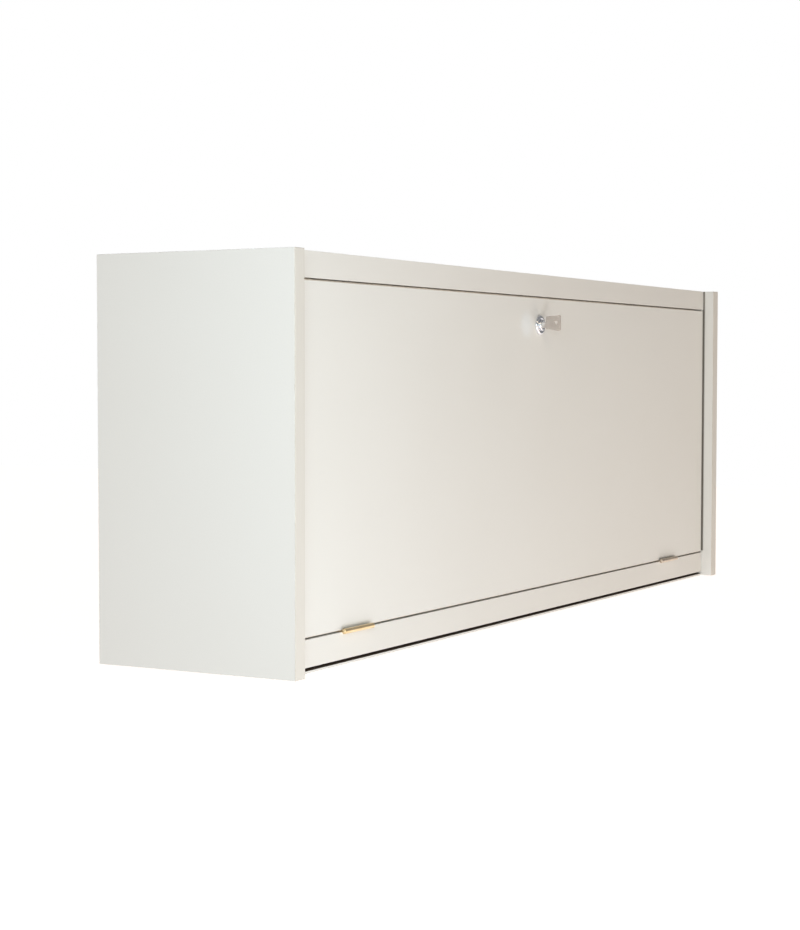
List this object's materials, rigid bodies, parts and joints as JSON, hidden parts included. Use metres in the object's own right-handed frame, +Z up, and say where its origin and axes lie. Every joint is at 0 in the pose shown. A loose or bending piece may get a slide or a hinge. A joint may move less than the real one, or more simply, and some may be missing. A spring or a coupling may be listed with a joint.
{
  "type": "secretary desk",
  "caption": "Wall-hung white secretary desk: a wide box whose locking front flap hinges at its lower edge and drops forward on stays to make a writing surface.",
  "frame": {"origin": "on the back face, midway between the two wall screws in the hanging rail", "axes": "+X to the right seen from the front, +Y towards the wall, +Z up"},
  "size_m": [1.2, 0.2524, 0.424],
  "materials": {
    "white_melamine": "white melamine facing on chipboard, satin with a fine even grain",
    "edge_band": "white edge band, satin",
    "white_hardboard": "thin hardboard, white lacquer on one side and raw brown on the other: the back panel is white inside, the bottom board white below",
    "brass": "polished brass, slightly dulled",
    "chrome_plate": "polished chrome plate",
    "nickel_key": "stamped nickel-plated steel, matt",
    "zinc_plate": "bright zinc-plated steel",
    "beech": "raw fluted beech",
    "rubber_pad": "soft grey-black rubber"
  },
  "bodies": {
    "cabinet": {"back_panel": "white_hardboard", "back_panel_nails": "zinc_plate", "bottom_board": "white_hardboard", "bottom_board_nails": "zinc_plate", "bottom_rail": "white_melamine", "bumper_pads": "rubber_pad", "connector_bolts": "zinc_plate", "connector_discs": "zinc_plate", "corner_dowels": "beech", "floor_panel": "white_melamine", "hanging_rail": "white_melamine", "hinge_frame_leaf_left": "brass", "hinge_frame_leaf_right": "brass", "hinge_frame_screws": "brass", "hinge_pin_left": "brass", "hinge_pin_right": "brass", "rail_dowels": "beech", "side_edge_band_left": "edge_band", "side_edge_band_right": "edge_band", "side_panel_left": "white_melamine", "side_panel_right": "white_melamine", "stay_base_left": "zinc_plate", "stay_base_right": "zinc_plate", "stay_base_screws": "zinc_plate", "stop_block_left": "white_melamine", "stop_block_right": "white_melamine", "stop_block_screws": "zinc_plate", "strike_plate": "zinc_plate", "strike_screws": "zinc_plate", "top_panel": "white_melamine", "top_rail": "white_melamine"},
    "flap": {"flap_panel": "white_melamine", "flap_edging": "edge_band", "hinge_flap_leaf_left": "brass", "hinge_flap_leaf_right": "brass", "hinge_flap_screws": "brass", "lock_housing": "chrome_plate", "lock_nut": "chrome_plate", "stay_bracket_left": "zinc_plate", "stay_bracket_right": "zinc_plate", "stay_bracket_screws": "zinc_plate"},
    "lock_plug": {"lock_plug": "chrome_plate", "lock_cam": "zinc_plate", "lock_cam_screw": "zinc_plate"},
    "key": {"key": "nickel_key"},
    "stay_arm_left": {"stay_arm_left": "zinc_plate"},
    "stay_arm_right": {"stay_arm_right": "zinc_plate"},
    "stay_guide_left": {"stay_guide_left": "zinc_plate"},
    "stay_guide_right": {"stay_guide_right": "zinc_plate"}
  },
  "joints": [
    {"name": "flap_hinge", "type": "hinge", "parent": "cabinet", "child": "flap", "pos_m": [0, -0.2275, -0.3305], "axis": [1, 0, 0], "range_deg": [0, 90]},
    {"name": "key_turn", "type": "hinge", "parent": "flap", "child": "lock_plug", "pos_m": [0, -0.224, -0.0045], "axis": [0, 1, 0], "range_deg": [0, 90]},
    {"name": "key_pull", "type": "slide", "parent": "lock_plug", "child": "key", "axis": [0, -1, 0], "range_m": [0, 0.026]},
    {"name": "arm_swing_left", "type": "hinge", "parent": "flap", "child": "stay_arm_left", "pos_m": [-0.5727, -0.196, -0.22302], "axis": [1, 0, 0], "range_deg": [-45, 0]},
    {"name": "guide_swivel_left", "type": "hinge", "parent": "cabinet", "child": "stay_guide_left", "pos_m": [-0.5777, -0.16926, -0.23484], "axis": [1, 0, 0], "range_deg": [0, 45]},
    {"name": "arm_swing_right", "type": "hinge", "parent": "flap", "child": "stay_arm_right", "pos_m": [0.5727, -0.196, -0.22302], "axis": [1, 0, 0], "range_deg": [-45, 0]},
    {"name": "guide_swivel_right", "type": "hinge", "parent": "cabinet", "child": "stay_guide_right", "pos_m": [0.5777, -0.16926, -0.23484], "axis": [1, 0, 0], "range_deg": [0, 45]}
  ],
  "couplings": [
    {"joint": "arm_swing_left", "follows": "flap_hinge", "ratio": -0.5},
    {"joint": "guide_swivel_left", "follows": "flap_hinge", "ratio": 0.5},
    {"joint": "arm_swing_right", "follows": "flap_hinge", "ratio": -0.5},
    {"joint": "guide_swivel_right", "follows": "flap_hinge", "ratio": 0.5}
  ]
}
